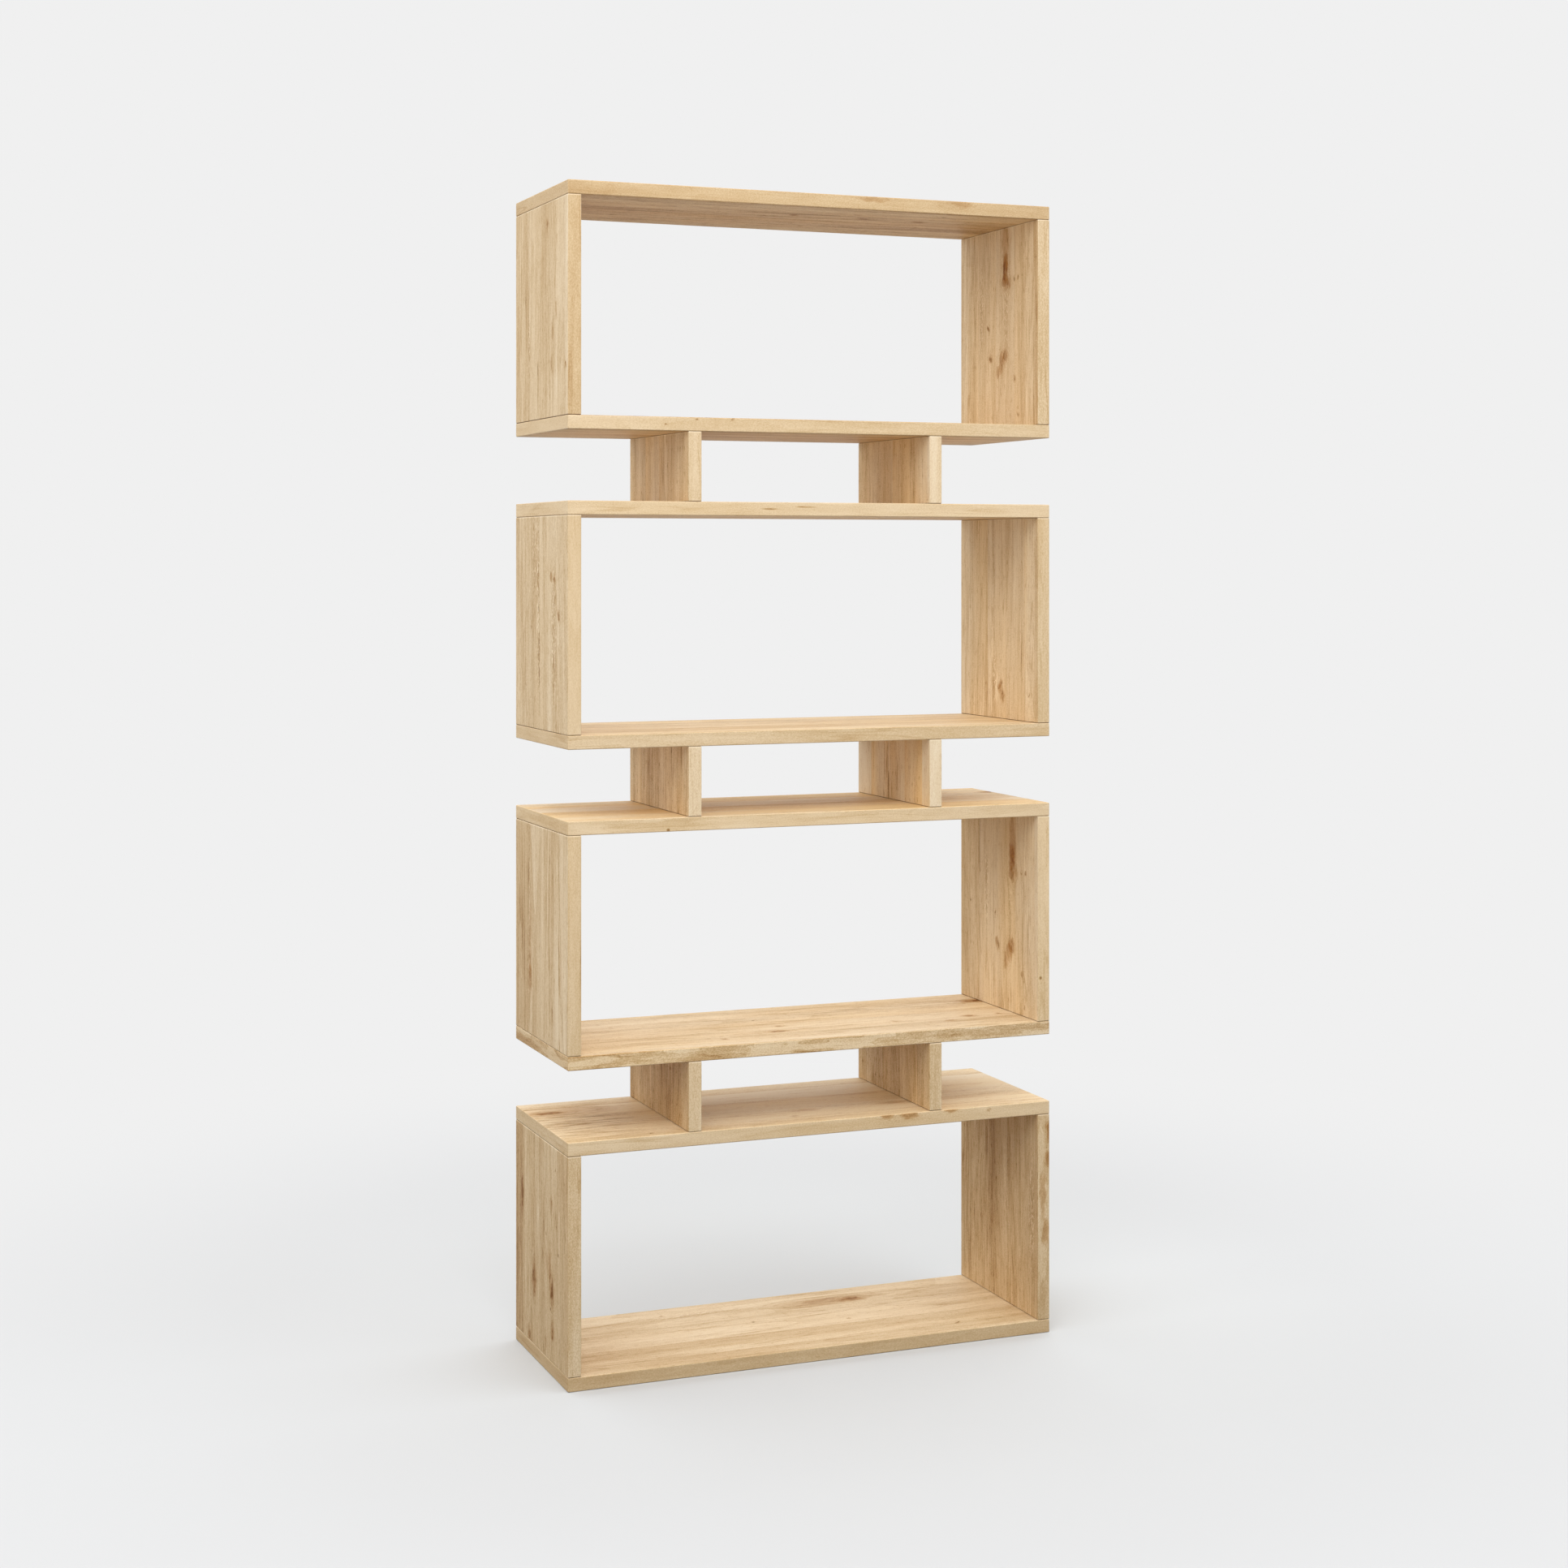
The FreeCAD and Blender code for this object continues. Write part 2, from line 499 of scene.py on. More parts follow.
@dataclass(frozen=True)
class KnotMarks:
    """How much of a place is a knot's core, amber surround or rings, and the grain's bend in metres."""

    core: Value
    halo: Value
    rings: Value
    bend: Value


@dataclass(frozen=True)
class Pattern:
    """One board's grain.

    Winding is the distance across the grain as it bends. Bent is the same, but starts anew at each stave.
    """

    winding: Field
    bent: Field
    stave_tone: Field
    joint: Field
    line: Field
    dash: Field
    vein: Field
    pin: Field


@dataclass(frozen=True)
class OiledBeech:
    """Heartwood beech, glued up from staves and oiled.

    Depth is 0 where the wood is palest and 1 where it is darkest. Layers of noise, staves, knots and
    streaks add up to it, and a ramp of six colours turns it into wood.
    """

    # The six colours, and where they lie on the ramp
    cream: Colour = paint(245, 226, 195)
    pale: Colour = paint(235, 211, 175)
    honey: Colour = paint(219, 191, 149)
    tan: Colour = paint(200, 166, 120)
    heart: Colour = paint(172, 132, 82)
    bark: Colour = paint(138, 94, 47)
    stops: tuple[float, ...] = (0.05, 0.25, 0.42, 0.62, 0.82, 1.0)
    middle: float = 0.36

    # Tints of warm places, which are partly painted warm bounce light, and of knots, and the painted
    # shade in seams
    straw_tint_and_bounce: Colour = paint(255, 243, 214)
    amber: Colour = paint(202, 157, 68)
    core: Colour = paint(176, 145, 84)
    seam_shade_colour: Colour = paint(96, 60, 28)
    seam_shade_share: float = 0.8
    warm: Layer = Layer(1.4, 9.0, 80.0, 1.0)
    warm_step: Pair = (-0.15, 0.20)

    # The way the grain meanders, and the layers of its figure
    sway: Layer = Layer(2.0, 5.0, 2.0, weight=0.020)
    shiver: Layer = Layer(15.0, 34.0, 4.0, 1.0, weight=0.0022)
    broad: Layer = Layer(0.9, 17.0, 10.0, 2.0, weight=0.55)
    band: Layer = Layer(3.0, 45.0, 20.0, 2.0, weight=0.32)
    fleck: Layer = Layer(20.0, 70.0, 25.0, 4.0, weight=0.25)
    line: Layer = Layer(9.0, 330.0, 30.0, 1.0, weight=0.24, on_strips=0.6)
    grit: Layer = Layer(420.0, 760.0, 40.0, weight=0.32, on_strips=1.2)
    dash: Layer = Layer(80.0, 500.0, 45.0, weight=0.20, on_strips=0.4)
    dash_step: Pair = (0.13, 0.30)
    vein: Layer = Layer(2.2, 40.0, 35.0, 2.0, weight=0.16)
    vein_step: Pair = (0.024, 0.004)
    vein_gap: Layer = Layer(5.0, 30.0, 37.0)
    vein_gap_step: Pair = (-0.02, 0.12)

    # Growth rings on the faces, and the flame on edges and ends
    ring: Layer = Layer(0.8, 7.0, 50.0, 1.0, weight=0.10, on_strips=0.4)
    ring_count: float = 13.0
    ring_power: float = 3.0
    ring_mean: float = 0.25
    flame: Layer = Layer(9.0, 60.0, 55.0, 2.0)
    flame_step: Pair = (-0.06, 0.14)
    flame_share: float = 0.6
    flame_line_count: float = 5.0
    flame_line_step: Pair = (0.34, 0.50)
    flame_mean: float = 0.33

    # Staves: their width in mm, how each is set apart from the next, and the joints between them
    stave_width: float = 66.0
    stave_seed: float = 0.37
    stave_start: float = 1.73
    stave_spread: float = 5.3
    stave_shift: float = 70.0
    stave_level: float = 0.5
    stave_shade: float = 0.34
    joint_step: Pair = (0.490, 0.498)
    joint_shade: float = 0.10
    # Painted highlight on the rounded edge below an upright's head; below 0 is lighter
    arris_highlight: float = -0.22

    # Knots: their outline, core, surround, rings and the bend of the grain round them
    knot_wander: Layer = Layer(45.0, 80.0, 1.0, 3.0)
    knot_drift: Pair = (0.030, 0.016)
    knot_rough: Layer = Layer(70.0, 230.0, 5.0, 2.0, weight=1.5)
    core_step: Pair = (1.05, 0.55)
    halo_step: Pair = (1.9, 0.7)
    knot_ring_count: float = 2.2
    knot_ring_step: Pair = (3.4, 1.0)
    knot_ring_shade: float = 0.30
    bend_step: Pair = (3.2, 0.0)
    bend_share: float = 0.42
    ragged: Layer = Layer(90.0, 260.0, 65.0, 2.0)
    ragged_step: Pair = (-0.06, 0.06)
    ragged_low: float = 0.35

    # Pin knots: cells to a metre, the share of them left empty, and the dot in the others
    pin_cells: Pair = (11.0, 13.0)
    pin_shift: float = 60.0
    pin_empty: float = 0.66
    pin_step: Pair = (0.042, 0.010)
    pin_shade: float = 0.45
    pin_core: float = 0.4

    # Streaks, and the light lines of curly places
    streak_step: Pair = (1.1, 0.25)
    streak_fibre: Layer = Layer(14.0, 190.0, 95.0, 3.0, weight=2.2)
    streak_fibre_step: Pair = (-0.12, 0.18)
    curl: Layer = Layer(55.0, 160.0, 90.0, 2.0)
    curl_step: Pair = (0.06, 0.0)
    curl_mean: float = 0.3

    # Gloss and relief
    roughness: float = 0.56
    line_roughness: float = 0.25
    dash_roughness: float = 0.10
    knot_roughness: float = 0.12
    line_height: float = 0.5
    dash_height: float = -0.35
    joint_height: float = -0.3
    vein_height: float = -0.3
    relief: float = 0.6 * MM
    relief_strength: float = 0.25
    shine: float = 0.22

    def dress(self, node: str, grain: Grain, figure: Figure, seed: float) -> None:
        """Gives a board its wood.

        Args:
            node: The board's CAD node.
            grain: Which way its fibres run.
            figure: Its own marks.
            seed: Where its pattern is read.
        """
        material = bpy.data.materials.new("oiled_beech_" + node)
        sheet = NodeSheet(material)
        ground = Ground.of_board(sheet, node, grain, seed)
        knots = self.lay_knots(ground, figure)
        pattern = self.lay_pattern(ground, knots.bend, seed)
        depth = self.find_depth(ground, figure, knots, pattern)
        gloss = (
            self.roughness
            + self.line_roughness * pattern.line
            + self.dash_roughness * pattern.dash
            + self.knot_roughness * knots.core
        )
        height = (
            self.line_height * pattern.line
            + self.dash_height * pattern.dash
            + self.joint_height * pattern.joint
            + self.vein_height * pattern.vein
        )
        sheet.surface(
            {
                "Base Color": self.colour_wood(ground, figure, knots, pattern, depth),
                "Roughness": gloss,
                "Normal": sheet.bump(height, self.relief, self.relief_strength),
                "Specular IOR Level": self.shine,
            }
        )
        put_on(node, material)

    def lay_knots(self, ground: Ground, figure: Figure) -> KnotMarks:
        """Lays out a board's own knots: ellipses with a ragged outline, and rings round them.

        Args:
            ground: The board's surfaces.
            figure: The board's marks.

        Returns:
            The knots' marks.
        """
        sheet = ground.sheet
        plain = sheet.join(ground.along, ground.across)
        wander = ground.noise(self.knot_wander)
        drift_along, drift_across = self.knot_drift
        outline = sheet.join(ground.along + drift_along * wander, ground.across + drift_across * wander)
        rough = self.knot_rough.weight * ground.noise(self.knot_rough)
        core: Value = 0.0
        halo: Value = 0.0
        rings: Value = 0.0
        bend: Value = 0.0
        for knot in figure.knots:
            here = ground.on(knot.side)
            shape = (knot.along, knot.across, knot.length, knot.width)
            radius = sheet.length(sheet.ellipse(outline, *shape))
            core = core + (radius + rough).ease(*self.core_step, 0.0, knot.core) * here
            halo = halo + (radius + rough).ease(*self.halo_step, 0.0, knot.halo) * here
            ring = (self.knot_ring_count * radius).part() ** self.ring_power
            rings = rings + ring * radius.ease(*self.knot_ring_step, 0.0, knot.halo) * here
            spot = sheet.ellipse(plain, *shape)
            near = sheet.length(spot).ease(*self.bend_step) * here
            bend = bend + sheet.split(spot)[1] * near * (self.bend_share * knot.width * MM)
        return KnotMarks(core, halo, rings, bend)

    def lay_pattern(self, ground: Ground, bend: Value, seed: float) -> Pattern:
        """Lays out the grain, which meanders, bends round the knots and starts anew at each stave.

        Args:
            ground: The board's surfaces.
            bend: How far the knots bend the grain, in metres.
            seed: Where the board's pattern is read.

        Returns:
            The grain.
        """
        sheet = ground.sheet
        meander = ground.weigh(self.sway, ground.noise(self.sway))
        meander = meander + ground.weigh(self.shiver, ground.noise(self.shiver))
        winding = ground.across + meander - bend

        faces = ground.on(Side.FACE)
        place = ground.across * (1.0 / (self.stave_width * MM)) + self.stave_seed * seed
        number = (place - place.part()) * faces
        spot = sheet.join(self.stave_spread * number, ground.layer + self.stave_shift, self.stave_level)
        bent = winding + self.stave_start * number

        vein = abs(ground.noise(self.vein, bent)).ease(*self.vein_step)
        return Pattern(
            winding=winding,
            bent=bent,
            stave_tone=sheet.noise(spot),
            joint=abs(place.part() - 0.5).ease(*self.joint_step) * faces,
            line=ground.noise(self.line, bent),
            dash=ground.noise(self.dash, bent).ease(*self.dash_step),
            vein=vein * ground.noise(self.vein_gap).ease(*self.vein_gap_step),
            pin=self.pin_knots(ground),
        )

    def find_depth(self, ground: Ground, figure: Figure, knots: KnotMarks, pattern: Pattern) -> Field:
        """Adds up how dark each place is.

        Args:
            ground: The board's surfaces.
            figure: The board's marks.
            knots: Its knots, laid out.
            pattern: Its grain.

        Returns:
            The depth.
        """
        bent = pattern.bent
        grain = (
            ground.weigh(self.broad, ground.noise(self.broad, bent))
            + ground.weigh(self.band, ground.noise(self.band, bent))
            + ground.weigh(self.fleck, ground.noise(self.fleck, bent))
            + ground.weigh(self.grit, ground.noise(self.grit))
            + ground.weigh(self.line, pattern.line)
            + ground.weigh(self.dash, pattern.dash)
            + ground.weigh(self.vein, pattern.vein)
        )
        ring = (self.ring_count * ground.noise(self.ring, bent)).part() ** self.ring_power
        ring = ring - self.ring_mean
        ring_strength = self.ring.weight + figure.flame
        depth = (
            self.middle
            + figure.tone
            + figure.contrast * ground.either(1.0, figure.edge_contrast) * grain
            + ground.either(ring_strength, ring_strength * self.ring.on_strips) * ring
            + (figure.edge_tone + figure.edge_flame * self.lay_flame(ground, bent)) * ground.strip
            + figure.end_tone * (ground.strip - ground.edge)
            + self.stave_shade * pattern.stave_tone
            + self.joint_shade * pattern.joint
            # Painted highlight on the rounded edge below an upright's head
            + self.arris_highlight * ground.painted_arris_highlight
            + self.knot_ring_shade * knots.rings
            + self.pin_shade * pattern.pin
        )
        if figure.streaks:
            depth = depth + self.run_streaks(ground, figure, pattern.winding)
        return depth

    def lay_flame(self, ground: Ground, bent: Field) -> Field:
        """Patches with lines round them, as edges and ends show.

        Args:
            ground: The board's surfaces.
            bent: The distance across the grain, from the stave's start.

        Returns:
            The flame, about 0.
        """
        wave = ground.noise(self.flame, bent)
        lines = abs((self.flame_line_count * wave).part() - 0.5).ease(*self.flame_line_step)
        patches = wave.ease(*self.flame_step)
        return self.flame_share * patches + (1.0 - self.flame_share) * lines - self.flame_mean

    def pin_knots(self, ground: Ground) -> Field:
        """Rare dark dots, one at most to a cell of about 80 mm.

        Args:
            ground: The board's surfaces.

        Returns:
            1 at a dot's middle, falling to 0.
        """
        sheet = ground.sheet
        along, across = self.pin_cells
        place = sheet.join(along * ground.along, across * ground.across, ground.layer + self.pin_shift)
        cell = sheet.node("ShaderNodeTexVoronoi", sockets={"Vector": place, "Scale": 1.0})
        chosen = sheet.split(sheet.read(cell, "Color"))[0] > self.pin_empty
        return sheet.read(cell, "Distance").ease(*self.pin_step) * chosen

    def run_streaks(self, ground: Ground, figure: Figure, winding: Field) -> Value:
        """Adds up a board's own streaks and curly places.

        Args:
            ground: The board's surfaces.
            figure: The board's marks.
            winding: The distance across the grain as it bends.

        Returns:
            How much darker the streaks make each place.
        """
        sheet = ground.sheet
        place = sheet.join(ground.along, winding)
        curl = self.curl_mean - abs(ground.noise(self.curl, winding)).ease(*self.curl_step)
        fibre = ground.noise(self.streak_fibre, winding)
        fibre = fibre.ease(*self.streak_fibre_step, 0.0, self.streak_fibre.weight)
        total: Value = 0.0
        for streak in figure.streaks:
            spot = sheet.ellipse(place, streak.along, streak.across, streak.length, streak.width)
            reach = sheet.length(spot).ease(*self.streak_step) * ground.on(streak.side)
            total = total + reach * (streak.shade * fibre + streak.curl * curl)
        return total

    def colour_wood(
        self, ground: Ground, figure: Figure, knots: KnotMarks, pattern: Pattern, depth: Field
    ) -> Field:
        """Turns depth into wood, then tints its warm places, partly with painted warm bounce light, tints
        its knots, and paints shade into its seams.

        Args:
            ground: The board's surfaces.
            figure: The board's marks.
            knots: Its knots, laid out.
            pattern: Its grain.
            depth: How dark each place is.

        Returns:
            The colour.
        """
        sheet = ground.sheet
        colours = (self.cream, self.pale, self.honey, self.tan, self.heart, self.bark)
        wood = sheet.ramp(depth, list(zip(self.stops, colours)))
        # Warm patches in the wood, made stronger on boards inside the boxes as painted warm bounce light
        warm = ground.noise(self.warm, pattern.bent).ease(*self.warm_step)
        warm = warm * ground.either(figure.warmth_and_bounce, figure.edge_warmth_and_bounce)
        wood = sheet.blend(warm, wood, self.straw_tint_and_bounce, "MULTIPLY")
        wood = sheet.blend(knots.halo, wood, self.amber, "MULTIPLY")
        ragged = ground.noise(self.ragged, pattern.bent).ease(*self.ragged_step, self.ragged_low, 1.0)
        core = knots.core * ragged + self.pin_core * pattern.pin
        wood = sheet.blend(core, wood, self.core, "MULTIPLY")
        # Painted shade in the grooves at an upright's foot and head
        return sheet.blend(self.seam_shade_share * ground.seam, wood, self.seam_shade_colour)


@dataclass(frozen=True)
class RawBeech:
    """Turned beech pegs, left raw."""

    pale: Colour = paint(232, 208, 170)
    dark: Colour = paint(196, 158, 112)
    waves_across: float = 900.0
    waves_along: float = 40.0
    detail: float = 2.0
    shade_step: Pair = (-0.25, 0.25)
    roughness: float = 0.68
    line_roughness: float = 0.2
    relief: float = 0.3 * MM
    relief_strength: float = 0.3

    def dress(self, node: str) -> None:
        """Gives a group of pegs their wood: fine lines from end to end.

        Args:
            node: The pegs' CAD node.
        """
        material = bpy.data.materials.new("raw_beech_" + node)
        sheet = NodeSheet(material)
        x, y, z = sheet.split(sheet.object_place()[0])
        place = sheet.join(self.waves_across * x, self.waves_across * y, self.waves_along * z)
        lines = sheet.noise(place, self.detail, Ground.ROUGHNESS)
        sheet.surface(
            {
                "Base Color": sheet.blend(lines.ease(*self.shade_step), self.pale, self.dark),
                "Roughness": self.roughness + self.line_roughness * lines,
                "Normal": sheet.bump(lines, self.relief, self.relief_strength),
            }
        )
        put_on(node, material)


@dataclass(frozen=True)
class PlatedMetal:
    """A metal fitting: its colours, how polished it is, and the fine turning marks on it."""

    name: str
    bright: Colour
    dull: Colour
    roughness: float
    turning_waves: float
    cloud_waves: float = 140.0
    cloud_detail: float = 2.0
    mark_waves: float = 30.0
    mark_detail: float = 1.0
    cloud_step: Pair = (-0.2, 0.25)
    cloud_roughness: float = 0.3
    mark_roughness: float = 0.15
    relief: float = 0.1 * MM
    relief_strength: float = 0.3

    def dress(self, node: str) -> None:
        """Gives a group of fittings their metal: dull clouds, and rings from the lathe.

        Args:
            node: The fittings' CAD node.
        """
        material = bpy.data.materials.new(self.name + "_" + node)
        sheet = NodeSheet(material)
        x, y, z = sheet.split(sheet.object_place()[0])
        cloud_place = sheet.join(self.cloud_waves * x, self.cloud_waves * y, self.cloud_waves * z)
        cloud = sheet.noise(cloud_place, self.cloud_detail)
        mark_place = sheet.join(self.mark_waves * x, self.mark_waves * y, self.turning_waves * z)
        marks = sheet.noise(mark_place, self.mark_detail)
        sheet.surface(
            {
                "Base Color": sheet.blend(cloud.ease(*self.cloud_step), self.bright, self.dull),
                "Roughness": self.roughness + self.cloud_roughness * cloud + self.mark_roughness * marks,
                "Metallic": 1.0,
                "Normal": sheet.bump(marks, self.relief, self.relief_strength),
            }
        )
        put_on(node, material)


ZINC = PlatedMetal(
    "zinc",
    bright=paint(206, 209, 212),
    dull=paint(168, 172, 176),
    roughness=0.34,
    turning_waves=2600.0,
)
BRASS = PlatedMetal(
    "brass",
    bright=paint(221, 190, 116),
    dull=paint(186, 150, 84),
    roughness=0.30,
    turning_waves=2200.0,
)


def put_on(node: str, material: bpy.types.Material) -> None:
    """Puts a material in every slot of a CAD node's object.

    Args:
        node: The CAD node.
        material: Its finish.
    """
    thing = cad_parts[node]
    thing.data.materials.clear()
    thing.data.materials.append(material)
    LOG.info("%s: %s", node, material.name)


Mark = TypeVar("Mark", Knot, Streak)

# The right sides of the second and the fourth box show one figure, a little shifted
RIGHT_FIGURE_KNOTS = (
    Knot(262, 114, 34, 14, 0.6, 0.5),
    Knot(292, 114, 76, 16, 0.0, 0.5),
    Knot(237, 112, 16, 24, 0.25, 0.5),
    Knot(117, 169, 14, 9, 0.7, 0.5),
    Knot(119, 116, 20, 14, 0.5, 0.5),
    Knot(108, 128, 26, 14, 0.2, 0.5),
    Knot(92, 140, 20, 8, 0.15, 0.5),
    Knot(243, 69, 7, 6, 1.0, 0.4),
    Knot(240, 82, 5, 5, 0.7, 0.3),
    Knot(77, 80, 8, 6, 0.8, 0.4),
    Knot(166, 176, 7, 6, 0.8, 0.4),
    Knot(24, 71, 6, 5, 0.8, 0.3),
)
RIGHT_FIGURE_STREAKS = (
    Streak(165, 177, 700, 5, 0.16),
    Streak(165, 230, 700, 14, 0.14),
    Streak(200, 203, 190, 18, 0.08, 0.4),
    Streak(175, 116, 170, 18, 0.10, 0.3),
    Streak(165, 262, 800, 40, -0.06),
)


def shifted(marks: tuple[Mark, ...], along: float, across: float) -> tuple[Mark, ...]:
    """The same marks at another place on a board.

    Args:
        marks: Knots or streaks.
        along: How far they move along the grain, in mm.
        across: How far they move across it, in mm.

    Returns:
        The moved marks.
    """
    return tuple(replace(mark, along=mark.along + along, across=mark.across + across) for mark in marks)


